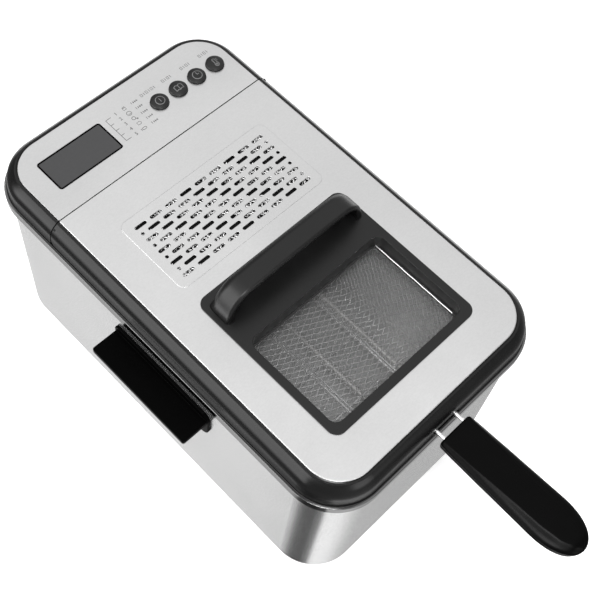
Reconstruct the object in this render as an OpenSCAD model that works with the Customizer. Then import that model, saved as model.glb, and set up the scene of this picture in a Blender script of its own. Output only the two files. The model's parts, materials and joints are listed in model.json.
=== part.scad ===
// Deep fryer with a lift-off lid, a wire basket, a lift-out oil tank and a
// lift-out control head that carries the immersed heating element.
// Millimetres, +Z up, the basket grip points to -Y. The origin lies on the
// ground, at the centre of the whole object's footprint.

/* [Top panel] */
// width of the silver top, X
panel_w = 200; // [196:1:204]
// length of the silver top, Y
panel_l = 352; // [348:1:356]
// height of the silver top above the ground
top_z = 181.5; // [179:0.5:184]
// plan corner radius of the silver top
corner_r = 28; // [26:1:32]
// thickness of the silver plates
panel_t = 1.1; // [0.8:0.1:1.4]
// line where the lid meets the control head, Y from the housing centre
seam_y = 109; // [106:1:112]
// width of the seam
seam_gap = 0.8; // [0.6:0.1:1.2]

/* [Black rim] */
// how far the rim stands outside the panel at its bottom edge
rim_out = 10.8; // [10.2:0.1:11.4]
// height of the rim from the panel top
rim_h = 19.6; // [19:0.1:20.2]
// wall thickness of the rim
rim_t = 2.3; // [1.8:0.1:2.8]
// lower rear corner radius of the lid rim
rim_corner = 5; // [3:0.5:7]
// width of the notch for the basket wires
notch_w = 27; // [25:1:32]
// height of that notch
notch_h = 4.6; // [4:0.1:6]

/* [Housing] */
// how far the steel wall stands outside the panel
body_out = 9.1; // [8:0.1:9.6]
// sheet thickness of the steel wall
shell_t = 0.8; // [0.6:0.1:1]
// height of the wall's lower edge above the ground
shell_z = 5; // [4:0.5:6]
// how far the polished collar stands outside the panel
collar_out = 13; // [12.4:0.1:13.6]
// depth of the collar's skirt
collar_h = 7.2; // [4:0.1:8]
// top of the collar above the ground
collar_z = 161.1; // [161:0.1:161.3]

/* [Window and lid handle] */
// width of the black window frame
frame_w = 145; // [143:1:147]
// window frame, front and rear edge from the housing centre
frame_y0 = -146.8; // [-148:0.2:-146]
// rear edge of the window frame
frame_y1 = -7.7; // [-9:0.1:-6]
// width of the window opening
open_w = 132; // [128:1:134]
// front edge of the window opening
open_y0 = -139.7; // [-141:0.1:-138]
// rear edge of the window opening
open_y1 = -54.5; // [-57:0.5:-52]
// how far the glass lies below the panel top
glass_drop = 12.6; // [12:0.1:13]
// height of the lid handle above the window frame
handle_h = 26.2; // [23:0.1:29]
// length of the lid handle, X
handle_w = 129; // [120:1:132]
// sideways shift of the lid handle
handle_x = 2.4; // [0:0.1:3]
// depth of the lid handle, Y
handle_d = 19.5; // [17:0.5:22]
// centre of the lid handle, Y
handle_y = -25.8; // [-28:0.2:-24]
// shell thickness of the lid handle
handle_t = 2.8; // [2.4:0.1:4]
// depth of the lip along the handle's rear edge
handle_lip = 8; // [5:0.5:10]

/* [Vent slots] */
// spacing along a row
slot_pitch_x = 14.7; // [14:0.1:15]
// spacing of the rows
slot_pitch_y = 6.54; // [6.2:0.02:7]
// length of a slot
slot_l = 10.8; // [9:0.1:11.5]
// width of a slot
slot_w = 2.8; // [2:0.1:3.2]
// first row, Y
slot_y0 = 14.7; // [13:0.1:16]

/* [Controls] */
// diameter of a push button
button_d = 14.7; // [13:0.1:15.2]
// first button, X
button_x0 = 26.2; // [25:0.1:27]
// spacing of the buttons
button_pitch = 19.45; // [19:0.05:19.6]
// row of the buttons, Y
button_y = 143; // [141:0.5:145]
// height of a button above the panel
button_h = 3.6; // [2.6:0.1:4]
// travel of a button
button_travel = 0.8; // [0.6:0.1:0.9]
// width of the display
display_w = 60.3; // [58:0.1:61]
// length of the display, Y
display_l = 30.2; // [28:0.1:31]
// centre of the display, X
display_x = -52; // [-53:0.5:-50]
// centre of the display, Y
display_y = 143.9; // [142:0.1:145]

/* [Tank and element] */
// outside width of the oil tank
tank_w = 190; // [186:1:191]
// front of the oil tank, Y
tank_y0 = -168; // [-169:0.5:-166]
// rear of the oil tank, Y
tank_y1 = 132; // [131:0.5:132.5]
// underside of the oil tank above the ground
tank_z = 32; // [30:0.5:34]
// sheet thickness of the oil tank
tank_t = 1; // [0.8:0.1:1.2]
// plan corner radius of the oil tank
tank_r = 28; // [24:1:32]
// diameter of the heating element's tube
tube_d = 6.6; // [6:0.1:8]
// height of the element's loop
tube_z = 42; // [41:0.5:43]
// centre distance of the element's legs
tube_pitch = 42; // [40:1:44]

/* [Basket] */
// width of the basket
basket_w = 152; // [146:1:156]
// front of the basket, Y
basket_y0 = -158; // [-159:0.5:-156]
// rear of the basket, Y
basket_y1 = 98; // [94:1:101]
// underside of the basket
basket_z = 52; // [50:0.5:54]
// top of the basket
basket_top = 150; // [146:1:152]
// diameter of the basket's rim wire
rim_wire = 4; // [3:0.1:4.4]
// diameter of the two handle wires
wire_d = 2.8; // [2.4:0.1:3]
// centre distance of the handle wires
wire_pitch = 19.8; // [19:0.1:21]
// start of the grip, Y
grip_y0 = -194; // [-196:0.5:-193]
// end of the grip, Y
grip_y1 = -310; // [-314:1:-306]
// half width of the grip near the wires
grip_a = 15.8; // [15:0.1:17]
// half width of the grip near its end
grip_b = 18; // [17:0.1:19]
// plan corner radius of the basket
basket_r = 36; // [30:1:44]

/* [Side handles] */
// length of a side handle, Y
side_l = 101; // [94:1:104]
// how far a side handle stands out of the wall
side_out = 25.5; // [22:0.5:28]
// centre of the side handles, Y
side_y = -11.4; // [-15:0.1:-7]
// top of the side handles
side_z = 125.2; // [120:1:130]
// thickness of the shelf
side_t = 4.6; // [4:0.1:6]
// how far the wall flange stands above the shelf
side_flange_h = 7; // [4:0.5:9]
// thickness of the wall flange
side_flange_t = 2.4; // [2:0.1:3]
// depth of the root plate of a side handle
side_drop = 26; // [22:1:30]

/* [Hidden] */
$fn = 64;
e = 0.01;
home_y = (-grip_y1 - (panel_l / 2 + collar_out)) / 2;
rim_z = top_z - rim_h;
ledge_z = top_z - panel_t;
web_t = 2.3;
web_in = 14;
groove = 0.5;
web_z = ledge_z - web_t;
frame_up = 0.8;
frame_z = top_z + frame_up;
glass_z = top_z - glass_drop;
glass_t = 4;
glass_margin = 4;
liner_t = 0.8;
liner_z = rim_z + 1.5;
seal_h = liner_z - collar_z - 0.2;
lip_t = 1;
lip_out = 4;
dock_y0 = 137.5;
dock_y1 = 180.6;
dock_w = 116;
dock_z = 88;
wall = 2;
box_gap = 0.7;
box_z = dock_z + wall + 5;
tray_z = rim_z + 0.3;
tray_t = 2.2;
riser_y = 118;
bend_r = 12;
board_z = 168;
board_t = 1.6;
wire_z = collar_z + 0.3 + wire_d / 2;
wire_y = basket_y0 - rim_wire - wire_d / 2;
hook_d = 2.4;
hook_r = 2.6;
floor_z = shell_z + shell_t;
base_t = 2.4;
foot_r = 10;
foot_seat = 2.6;
screw_d = 3;
side_root = 5;
mesh_t = 0.9;
bracket_h = 40;

// ---- shared shapes -------------------------------------------------------

module home() translate([0, home_y, 0]) children();

// rounded rectangle between y0 and y1, centred on X
module pad(w, y0, y1, r) {
    translate([0, (y0 + y1) / 2]) {
        square([w - 2 * r, y1 - y0], center = true);
        square([w, y1 - y0 - 2 * r], center = true);
        for (sx = [-1, 1], sy = [-1, 1])
            translate([sx * (w / 2 - r), sy * ((y1 - y0) / 2 - r)]) circle(r);
    }
}

// the panel outline grown outwards
module outline(grow) {
    pad(panel_w + 2 * grow, -panel_l / 2 - grow, panel_l / 2 + grow, corner_r + grow);
}

module slab(z0, z1) translate([0, 0, z0]) linear_extrude(z1 - z0) children();

// a section swept around the panel outline; X is the distance outwards
module around() {
    for (k = [0 : 3]) {
        across = k % 2 == 0 ? panel_w / 2 : panel_l / 2;
        run = (k % 2 == 0 ? panel_l : panel_w) - 2 * corner_r;
        sx = k == 0 || k == 3 ? 1 : -1;
        sy = k < 2 ? 1 : -1;
        rotate([0, 0, 90 * k])
            translate([across, 0, 0])
                rotate([90, 0, 0])
                    linear_extrude(run, center = true) children();
        translate([sx * (panel_w / 2 - corner_r), sy * (panel_l / 2 - corner_r), 0])
            rotate([0, 0, 90 * k])
                rotate_extrude(angle = 90)
                    translate([corner_r, 0]) children();
    }
}

// outer shape of the rim: a cap arc that runs into a slightly flared skirt
cap_drop = 13;
cap_in = 3.6;
cap_r = sqrt(cap_in * cap_in + cap_drop * cap_drop);
cap_x = cap_r - cap_in;

module rim_shape(t) {
    intersection() {
        translate([-cap_in, top_z - cap_drop]) circle(cap_r - t);
        translate([0, top_z - cap_drop]) square([cap_r, cap_r]);
    }
    polygon([
        [0, rim_z - t], [rim_out - t, rim_z - t],
        [rim_out - t, rim_z], [cap_x - t, top_z - cap_drop],
        [0, top_z - cap_drop]
    ]);
}

// shell of the rim with the web that carries the panel
module rim_section() {
    difference() {
        intersection() {
            rim_shape(0);
            translate([0, rim_z]) square([rim_out + 5, rim_h + 5]);
        }
        translate([-e, 0]) rim_shape(rim_t);
        translate([-1, ledge_z]) square([1 + groove, 5]);
    }
    translate([-web_in, web_z]) square([web_in + rim_t, web_t]);
    translate([groove, web_z]) square([rim_t, top_z - web_z - 0.5]);
}

// what stays on the lid's side of the seam
module lid_side() {
    difference() {
        translate([-200, -300, 0]) cube([400, 300 + seam_y - seam_gap / 2, 300]);
        translate([-200, seam_y - seam_gap / 2 - rim_corner, rim_z - e])
            difference() {
                cube([400, rim_corner + 1, rim_corner]);
                translate([-1, 0, rim_corner]) rotate([0, 90, 0]) cylinder(r = rim_corner, h = 402);
            }
    }
}

module head_side() translate([-200, seam_y + seam_gap / 2, 0]) cube([400, 300, 300]);

// quarter or half turn of a tube in its own XY plane
module bend(r, d, a) rotate_extrude(angle = a) translate([r, 0]) circle(d = d);

function lid_screw_at() = [for (sx = [-1, 1], y = [-150, -20, 90]) [sx * 86, y]];
function foot_at() = [for (sx = [-1, 1], sy = [-1, 1]) [sx * 78, sy * 150]];
function button_at(k) = button_x0 + k * button_pitch;
function side_screw_at() = [side_y - 30, side_y + 30];

// ---- housing -------------------------------------------------------------

module housing_shell() color("silver") home() difference() {
    union() {
        slab(shell_z, collar_z - 1.2) difference() {
            outline(body_out);
            outline(body_out - shell_t);
        }
        slab(shell_z, floor_z) difference() {
            outline(body_out - shell_t + e);
            outline(body_out - 9);
        }
    }
    for (s = [-1, 1], y = side_screw_at())
        translate([s * (panel_w / 2 + body_out - 3), y, side_z - 14])
            rotate([0, 90, 0]) cylinder(d = 4.4, h = 6, center = true);
}

module top_collar() color("gainsboro") home() {
    // top plate, the ledge for the tank's lip and the rounded outer bead
    slab(collar_z - 1.2, collar_z) difference() {
        outline(collar_out - 1.2);
        pad(tank_w + 2 * lip_out + 0.8, tank_y0 - lip_out - 0.4, tank_y1 + lip_out + 0.4, tank_r + lip_out);
        pad(dock_w - 2 * wall, dock_y0 + wall + 0.4, dock_y1 - wall, 4);
    }
    slab(collar_z - 2, collar_z - lip_t) difference() {
        pad(tank_w + 2 * lip_out + 6, tank_y0 - lip_out - 3, tank_y1 + lip_out + 1.2, tank_r + lip_out + 2);
        pad(tank_w + 1.2, tank_y0 - 0.6, tank_y1 + 0.6, tank_r);
    }
    around() intersection() {
        union() {
            translate([collar_out - 0.4, collar_z - 0.4]) circle(0.4);
            translate([collar_out - 1.3, collar_z - 0.8]) square([0.9, 0.8]);
            translate([collar_out - 1.2, collar_z - collar_h]) square([1.2, collar_h - 0.4]);
        }
        translate([collar_out - 1.2, 0]) square([5, 400]);
    }
}

module base_plate() color("dimgray") home() difference() {
    union() {
        slab(floor_z, floor_z + base_t) outline(body_out - shell_t - 0.3);
        for (p = foot_at()) translate([p[0], p[1], floor_z]) cylinder(r = 7, h = 12);
    }
    for (p = foot_at()) translate([p[0], p[1], floor_z - 1]) cylinder(d = 3, h = 11);
    for (k = [-6 : 6]) slab(floor_z - 1, floor_z + base_t + 1)
        translate([0, k * 13]) pad(70, -2, 2, 1.9);
}

module rubber_feet() color("black") home() for (p = foot_at()) translate([p[0], p[1], 0]) {
    difference() {
        union() {
            cylinder(r1 = foot_r - 1, r2 = foot_r, h = 1.5);
            translate([0, 0, 1.5]) cylinder(r = foot_r, h = floor_z - 1.5);
        }
        translate([0, 0, -1]) cylinder(r = 4.5, h = foot_seat + 1);
        cylinder(d = 4, h = 20);
    }
}

module base_screws() color("gray") home() for (p = foot_at())
    translate([p[0], p[1], foot_seat]) {
        cylinder(d = screw_d - 0.02, h = 13);
        translate([0, 0, -2.1]) cylinder(d = 7, h = 2.1);
    }

// a flat shelf on a root plate, with two end ribs and finger room below
module side_handle() difference() {
    union() {
        slab(side_z - side_t, side_z) difference() {
            translate([0, -side_l / 2]) square([side_out - side_t / 2, side_l]);
            translate([-1, -side_l / 2 - 1]) square([2, 3]);
        }
        // flange that stands against the wall, higher than the shelf
        rotate([90, 0, 90]) linear_extrude(side_flange_t) translate([-1, 0])
            pad(side_l + 2, side_z - side_drop, side_z + side_flange_h, 9);
        translate([side_out - side_t / 2, 0, side_z - side_t / 2]) rotate([90, 0, 0])
            cylinder(d = side_t, h = side_l, center = true);
        translate([0, 7 - side_l / 2, side_z - side_drop]) cube([side_root, side_l - 14, side_drop - 0.5]);
        for (s = [-1, 1]) translate([side_root - 1, s * (side_l / 2 - 9) + 1.5, 0]) rotate([90, 0, 0])
            linear_extrude(3) polygon([
                [0, side_z - side_t + 1], [0, side_z - side_drop + 2], [side_out / 2, side_z - side_t + 1]
            ]);
    }
    for (y = side_screw_at()) translate([-1, y - side_y, side_z - 14]) rotate([0, 90, 0])
        cylinder(d = screw_d, h = 5);
}

module side_handle_right() color("black") home()
    translate([panel_w / 2 + body_out, side_y, 0]) side_handle();

module side_handle_left() color("black") home() mirror([1, 0, 0])
    translate([panel_w / 2 + body_out, side_y, 0]) side_handle();

module side_handle_screws() color("gray") home() for (s = [-1, 1], y = side_screw_at())
    translate([s * (panel_w / 2 + body_out - shell_t), y, side_z - 14])
        rotate([0, s * 90, 0]) {
            cylinder(d = screw_d - 0.02, h = shell_t + 3.6);
            translate([0, 0, -2.1]) cylinder(d = 6.5, h = 2.1);
        }

// pocket behind the tank that guides the control head
module head_dock() color("dimgray") home() {
    slab(dock_z, collar_z - 1.2) difference() {
        pad(dock_w, dock_y0, dock_y1, 6);
        pad(dock_w - 2 * wall, dock_y0 + wall, dock_y1 - wall, 4);
    }
    slab(dock_z, dock_z + wall) pad(dock_w, dock_y0, dock_y1, 6);
    // the pin that closes the head's safety switch
    translate([30, (dock_y0 + dock_y1) / 2, dock_z]) cylinder(d = 5, h = box_z + wall + 9.3 - dock_z);
}

// ---- oil tank ------------------------------------------------------------

module oil_tank() color("lightgray") home() {
    difference() {
        union() {
            slab(tank_z, collar_z) pad(tank_w, tank_y0, tank_y1, tank_r);
            slab(collar_z - lip_t, collar_z)
                pad(tank_w + 2 * lip_out, tank_y0 - lip_out, tank_y1 + lip_out, tank_r + lip_out);
        }
        slab(tank_z + tank_t, collar_z + 1)
            pad(tank_w - 2 * tank_t, tank_y0 + tank_t, tank_y1 - tank_t, tank_r - tank_t);
    }
    // two level marks pressed into each long wall
    for (s = [-1, 1], z = [84, 112])
        translate([s * (tank_w / 2 - tank_t - 0.2), 20, z]) cube([1, 36, 1.2], center = true);
}

// ---- control head --------------------------------------------------------

module display_cut(grow) translate([display_x, 0])
    pad(display_w + 2 * grow, display_y - display_l / 2 - grow, display_y + display_l / 2 + grow, 2.4 + grow);

module head_cover() color("black") home() difference() {
    intersection() {
        union() {
            around() rim_section();
            slab(web_z, ledge_z) outline(-0.4);
            translate([0, seam_y + seam_gap / 2 + wall, 0]) rotate([90, 0, 0]) linear_extrude(wall)
                polygon([for (s = [-1, 1], p = [
                    [cap_x - 1.4, tray_z + tray_t + 0.1], [cap_x - 1.4, top_z - cap_drop], [4, web_z + 0.1]
                ]) [s * (panel_w / 2 + p[0]), p[1]]], [[0, 1, 2, 5, 4, 3]]);
        }
        head_side();
    }
    slab(web_z - 1, top_z) display_cut(-2);
    for (k = [0 : 3]) translate([button_at(k), button_y, web_z - 1]) cylinder(d = button_d + 0.5, h = 6);
    translate([0, panel_l / 2, top_z - 11]) rotate([-90, 0, 0]) cylinder(d = 9, h = 20);
}

module head_panel() color("silver") home() slab(ledge_z, top_z) difference() {
    intersection() {
        outline(0);
        translate([-200, seam_y + seam_gap / 2]) square([400, 200]);
    }
    display_cut(0);
    for (k = [0 : 3]) translate([button_at(k), button_y]) circle(d = button_d + 0.6);
}

// floor of the head with the box that reaches down into the dock
module head_tray() color("dimgray") home() {
    bw = dock_w - 2 * wall - 2 * box_gap;
    b0 = dock_y0 + wall + box_gap;
    b1 = dock_y1 - wall - box_gap;
    difference() {
        union() {
            slab(tray_z, tray_z + tray_t) intersection() {
                outline(cap_x - rim_t - 0.6);
                translate([-200, seam_y + seam_gap / 2]) square([400, 200]);
            }
            slab(box_z, tray_z + e) pad(bw, b0, b1, 3.5);
            for (p = head_screw_at()) translate([p[0], p[1], tray_z + tray_t - e]) cylinder(r = 3.4, h = 3);
        }
        slab(box_z + wall, tray_z + tray_t + 1) pad(bw - 2 * wall, b0 + wall, b1 - wall, 1.6);
        translate([30, (dock_y0 + dock_y1) / 2, box_z - 1]) cylinder(d = 7, h = 10);
        for (s = [-1, 1]) translate([s * 1.5 * tube_pitch, riser_y, tray_z - 1]) cylinder(d = tube_d + 1, h = 10);
        for (s = [-1, 1]) translate([s * 12, riser_y, tray_z - 1]) cylinder(d = 6, h = 10);
        for (p = head_screw_at()) translate([p[0], p[1], tray_z - 1]) cylinder(d = 3, h = 9);
    }
}

function head_screw_at() = [for (sx = [-1, 1], y = [116, 162]) [sx * 92, y]];

module head_screws() color("gray") home() for (p = head_screw_at())
    translate([p[0], p[1], tray_z]) {
        cylinder(d = screw_d - 0.02, h = 5);
        translate([0, 0, -0.2]) cylinder(d = 6, h = 0.2);
    }

module display_bezel() color("black") home() slab(ledge_z, top_z + 0.15) difference() {
    display_cut(-0.15);
    display_cut(-1.3);
}

module display_lens() color("dimgray") home() slab(ledge_z, top_z - 0.15) display_cut(-1.35);

module display_module() color("darkslategray") home() {
    w = display_w - 6;
    l = display_l - 6;
    translate([display_x - w / 2 + 2, display_y - l / 2 + 2, board_z + board_t]) cube([w - 4, l - 4, 4.4]);
    translate([display_x - w / 2, display_y - l / 2, board_z + board_t + 4.3]) cube([w, l, 5.6]);
}

module button_mat() color("lightgray") home() {
    difference() {
        slab(board_z + board_t + 3, board_z + board_t + 4)
            translate([button_at(1.5), 0]) pad(76, button_y - 8.5, button_y + 8.5, 3);
        for (k = [0 : 3]) translate([button_at(k), button_y, board_z]) cylinder(d = 5, h = 9);
    }
    for (k = [0 : 3]) translate([button_at(k), button_y, board_z + board_t + 4]) difference() {
        cylinder(d1 = 10, d2 = 8, h = 1.6);
        translate([0, 0, -e]) cylinder(d1 = 7, d2 = 5, h = 1);
    }
}

module tact_switches() color("gray") home() for (k = [0 : 3])
    translate([button_at(k), button_y, board_z + board_t]) {
        translate([-3, -3, 0]) cube([6, 6, 2.2]);
        translate([0, 0, 2.2]) cylinder(d = 3.2, h = 1);
    }

module control_board() color("darkgreen") home() slab(board_z, board_z + board_t) difference() {
    pad(174, 124, 168, 4);
    translate([0, 172]) circle(9);
}

module board_parts() color("dimgray") home() translate([0, 0, board_z + board_t]) {
    translate([-12, 127, 0]) cube([14, 14, 2.2]);
    translate([-10, 150, 0]) cylinder(d = 8, h = 7);
    translate([2, 150, 0]) cylinder(d = 6.3, h = 7);
    translate([44, 125, 0]) cube([19, 9, 6]);
    for (k = [0 : 5]) translate([10 + 4 * k, 160, 0]) cube([2, 3.4, 1.2]);
}

module power_board() color("darkgreen") home() {
    y = (dock_y0 + dock_y1) / 2 - 9;
    translate([-44, y, box_z + wall + 3]) cube([56, 1.6, 50]);
    translate([-40, y + 1.6, box_z + wall + 20]) cube([19, 15.5, 15]);
    translate([-14, y + 1.6, box_z + wall + 20]) cube([22, 17, 24]);
}

module safety_switch() color("black") home() {
    y = (dock_y0 + dock_y1) / 2;
    translate([20, y - 3.2, box_z + wall + 10.6]) cube([20, 6.4, 10]);
    translate([29, y - 1.5, box_z + wall + 9.4]) cube([2.4, 3, 1.3]);
}

module element_bracket() color("silver") home() {
    difference() {
        translate([-54, riser_y + tube_d / 2 + 0.4, 70]) cube([108, 1.2, tray_z - 70 + e - 0.1]);
        for (s = [-1, 1]) translate([s * 30, riser_y, 110]) rotate([-90, 0, 0]) cylinder(d = 12, h = 20);
    }
    difference() {
        translate([-74, riser_y - 6, tray_z - 1.3]) cube([148, 17, 1.2]);
        for (s = [-1, 1]) translate([s * 1.5 * tube_pitch, riser_y, tray_z - 3]) cylinder(d = tube_d + 1, h = 5);
        for (s = [-1, 1]) translate([s * 12, riser_y, tray_z - 3]) cylinder(d = 6, h = 5);
    }
}

// one tube: riser, two outer legs, two inner legs and three return bends
module heating_element() color("darkgray") home() {
    out = 1.5 * tube_pitch;
    in = 0.5 * tube_pitch;
    front = -128;
    back = 70;
    for (s = [-1, 1]) {
        translate([s * out, riser_y, tube_z + bend_r]) cylinder(d = tube_d, h = web_z - 4 - tube_z - bend_r);
        translate([s * out, riser_y - bend_r, tube_z + bend_r]) rotate([0, 90, 0]) bend(bend_r, tube_d, 90);
        translate([s * out, front, tube_z]) rotate([-90, 0, 0]) cylinder(d = tube_d, h = riser_y - bend_r - front);
        translate([s * in, front, tube_z]) rotate([-90, 0, 0]) cylinder(d = tube_d, h = back - front);
        translate([s * tube_pitch, front, tube_z]) rotate([0, 0, 180]) bend(tube_pitch / 2, tube_d, 180);
    }
    translate([0, back, tube_z]) bend(tube_pitch / 2, tube_d, 180);
}

module element_clips() color("silver") home() for (y = [-60, 30]) difference() {
    translate([-1.5 * tube_pitch - 6, y - 5, tube_z - tube_d / 2 - 1]) cube([3 * tube_pitch + 12, 10, 2.2]);
    for (k = [-1.5, -0.5, 0.5, 1.5])
        translate([k * tube_pitch, y, tube_z]) rotate([90, 0, 0]) cylinder(d = tube_d + 0.02, h = 12, center = true);
}

module thermostat_bulbs() color("gray") home() for (s = [-1, 1]) {
    translate([s * 12, riser_y, 66]) cylinder(d = 5, h = web_z - 16 - 66 + 8);
    translate([s * 12, riser_y, 64]) sphere(d = 5);
    translate([s * 12, riser_y, 64]) cylinder(d = 5, h = 3);
}

module cord_gland() color("black") home() translate([0, panel_l / 2, top_z - 11]) rotate([-90, 0, 0])
    difference() {
        union() {
            translate([0, 0, 2.7]) cylinder(d = 10.6, h = 2);
            translate([0, 0, 4.6]) cylinder(d = 8.9, h = 3.4);
        }
        cylinder(d = 6.4, h = 30);
    }

// a domed cap with a retaining flange below the web
module button(k) home() translate([button_at(k), button_y, 0]) {
    intersection() {
        translate([0, 0, web_z - 0.3]) cylinder(d = button_d, h = top_z + button_h - web_z + 0.3);
        translate([0, 0, top_z + button_h - 17]) sphere(r = 17, $fn = 96);
    }
    translate([0, 0, web_z - 1.4]) cylinder(d = button_d + 2, h = 1.15);
}

module button_power() color("black") button(0);
module button_mode() color("black") button(1);
module button_time() color("black") button(2);
module button_temp() color("black") button(3);

// ---- lid -----------------------------------------------------------------

module lid_rim() color("black") home() difference() {
    intersection() {
        union() {
            around() rim_section();
            // rear wall and rear web along the seam
            translate([-panel_w / 2 - cap_x + 3, seam_y - seam_gap / 2 - wall, rim_z + 1])
                cube([panel_w + 2 * cap_x - 6, wall, web_z - rim_z - 1 + e]);
            translate([-panel_w / 2 + 2, seam_y - 13, web_z]) cube([panel_w - 4, 13, web_t]);
            // inner wall that the liner closes
            slab(liner_z + liner_t, web_z + e) difference() {
                pad(panel_w - 4, -panel_l / 2 + 2, seam_y - 1.5, corner_r - 2);
                pad(panel_w - 8, -panel_l / 2 + 4, seam_y - 3.5, corner_r - 4);
            }
            for (p = lid_screw_at()) translate([p[0], p[1], liner_z + liner_t])
                cylinder(r = 3.5, h = web_z - liner_z - liner_t + e);
        }
        lid_side();
    }
    wire_notch();
    for (p = lid_screw_at()) translate([p[0], p[1], liner_z]) cylinder(d = 3, h = 9);
}

// way out for the two basket wires
module wire_notch() translate([-notch_w / 2, -panel_l / 2 - 30, collar_z - 1])
    cube([notch_w, 50, rim_z + notch_h + 1 - collar_z]);

module slots() for (j = [0 : 8]) {
    y = slot_y0 + j * slot_pitch_y;
    odd = j % 2;
    for (k = [0 : 8 - odd]) translate([(k - 4 + odd / 2) * slot_pitch_x, y]) {
        square([slot_l - slot_w, slot_w], center = true);
        for (s = [-1, 1]) translate([s * (slot_l - slot_w) / 2, 0]) circle(d = slot_w, $fn = 24);
    }
    if (odd == 1) for (s = [-1, 1]) translate([s * 62.2, y]) circle(d = slot_w, $fn = 24);
}

module lid_panel() color("silver") home() difference() {
    union() {
        slab(ledge_z, top_z) intersection() {
            outline(0);
            translate([-200, -300]) square([400, 300 + seam_y - seam_gap / 2]);
        }
        slab(top_z - e, top_z + 0.14) pad(144, 6, 77, 6);
    }
    slab(ledge_z - 1, top_z + 1) slots();
    slab(ledge_z - 1, top_z + 1) pad(frame_w - 6, frame_y0 + 3, frame_y1 - 3, 6);
}

module window_frame() color("black") home() difference() {
    union() {
        slab(top_z + 0.02, frame_z) pad(frame_w, frame_y0, frame_y1, 8);
        slab(web_z + 0.2, top_z + 0.03) pad(frame_w - 6.4, frame_y0 + 3.2, frame_y1 - 3.2, 5.8);
        slab(glass_z, web_z + 0.3) pad(open_w + 5.6, open_y0 - 2.8, open_y1 + 2.8, 5.8);
    }
    slab(glass_z - 1, frame_z + 1) pad(open_w, open_y0, open_y1, 7);
    for (s = [-1, 1]) translate([handle_x + s * (handle_w / 2 - 8), handle_y, web_z - 1])
        cylinder(d = 4.4, h = 10);
}

// arch seen from the front: a long shallow crown that runs into rounded ends
crown_r = 900;
end_r = 20;
end_x = handle_w / 2 - end_r;
end_z = handle_h - crown_r + sqrt((crown_r - end_r) * (crown_r - end_r) - end_x * end_x);
end_a = atan2(end_z + crown_r - handle_h, end_x);

function arc(x, z, r, a0, a1, n) =
    [for (k = [0 : n]) let (a = a0 + (a1 - a0) * k / n) [x + r * cos(a), z + r * sin(a)]];

module arch(inset) polygon(concat(
    [[end_x + end_r - inset, -1]],
    arc(end_x, end_z, end_r - inset, 0, end_a, 14),
    arc(0, handle_h - crown_r, crown_r - inset, end_a + 1, 179 - end_a, 18),
    arc(-end_x, end_z, end_r - inset, 180 - end_a, 180, 14),
    [[inset - end_x - end_r, -1]]));

module arch_band(depth, thick) rotate([90, 0, 0]) linear_extrude(depth, center = true) intersection() {
    difference() {
        arch(0);
        arch(thick);
    }
    translate([-100, 0]) square([200, 100]);
}

module lid_handle() color("black") home() translate([handle_x, handle_y, frame_z]) difference() {
    union() {
        arch_band(handle_d, handle_t);
        // lip that turns down along the rear edge
        translate([0, (handle_d - handle_t) / 2, 0]) arch_band(handle_t, handle_lip);
        for (s = [-1, 1]) {
            translate([s * (handle_w / 2 - 8), 0, 0]) cylinder(d = 9, h = 9);
            translate([s * (handle_w / 2 - 7) - 6, -handle_d / 2, 0]) cube([12, handle_d, 2.4]);
        }
    }
    for (s = [-1, 1]) translate([s * (handle_w / 2 - 8), 0, -1]) cylinder(d = screw_d, h = 8);
}

module handle_screws() color("gray") home() for (s = [-1, 1])
    translate([handle_x + s * (handle_w / 2 - 8), handle_y, web_z + 0.2]) {
        cylinder(d = screw_d - 0.02, h = frame_z - web_z + 5.5);
        translate([0, 0, -2]) cylinder(d = 7, h = 2);
    }

module window_glass() color("lightblue") home() slab(glass_z - glass_t, glass_z)
    pad(open_w + 2 * glass_margin, open_y0 - glass_margin, open_y1 + glass_margin, 6);

module window_gasket() color("gray") home() {
    m = glass_margin;
    slab(glass_z - glass_t, glass_z) difference() {
        pad(open_w + 2 * m + 4, open_y0 - m - 2, open_y1 + m + 2, 8);
        pad(open_w + 2 * m + 0.02, open_y0 - m - 0.01, open_y1 + m + 0.01, 6);
    }
    slab(liner_z + liner_t, glass_z - glass_t) difference() {
        pad(open_w + 2 * m + 4, open_y0 - m - 2, open_y1 + m + 2, 8);
        pad(open_w - 1, open_y0 + 0.5, open_y1 - 0.5, 4);
    }
}

// frame under the slots that holds the grease filter
module filter_tray() color("dimgray") home() {
    slab(liner_z + liner_t, ledge_z) difference() {
        pad(140, 8, 75, 5);
        pad(136, 10, 73, 3);
    }
    slab(ledge_z - 5.5, ledge_z - 4.2) difference() {
        pad(138, 9, 74, 3);
        pad(130, 13, 70, 2);
    }
}

module filter_mesh() color("darkgray") home() slab(ledge_z - 4.2, ledge_z - 2) pad(135.4, 10.3, 72.7, 2.8);

module lid_liner() color("silver") home() slab(liner_z, liner_z + liner_t) difference() {
    pad(panel_w - 2, -panel_l / 2 + 1, seam_y - seam_gap / 2 - wall - 0.4, corner_r - 1);
    pad(open_w - 1, open_y0 + 0.5, open_y1 - 0.5, 4);
    for (x = [-4 : 4], y = [0 : 3]) translate([x * 13, 20 + y * 14]) circle(d = 8);
    for (p = lid_screw_at()) translate([p[0], p[1]]) circle(d = 3.4);
    translate([-notch_w / 2, -panel_l / 2]) square([notch_w, 20]);
}

module lid_seal() color("gray") home() slab(liner_z - seal_h, liner_z) difference() {
    pad(panel_w - 5, -panel_l / 2 + 4, seam_y - 4, corner_r - 2);
    pad(panel_w - 15, -panel_l / 2 + 9, seam_y + 20, corner_r - 7);
    translate([-notch_w / 2, -panel_l / 2]) square([notch_w, 20]);
}

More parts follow.
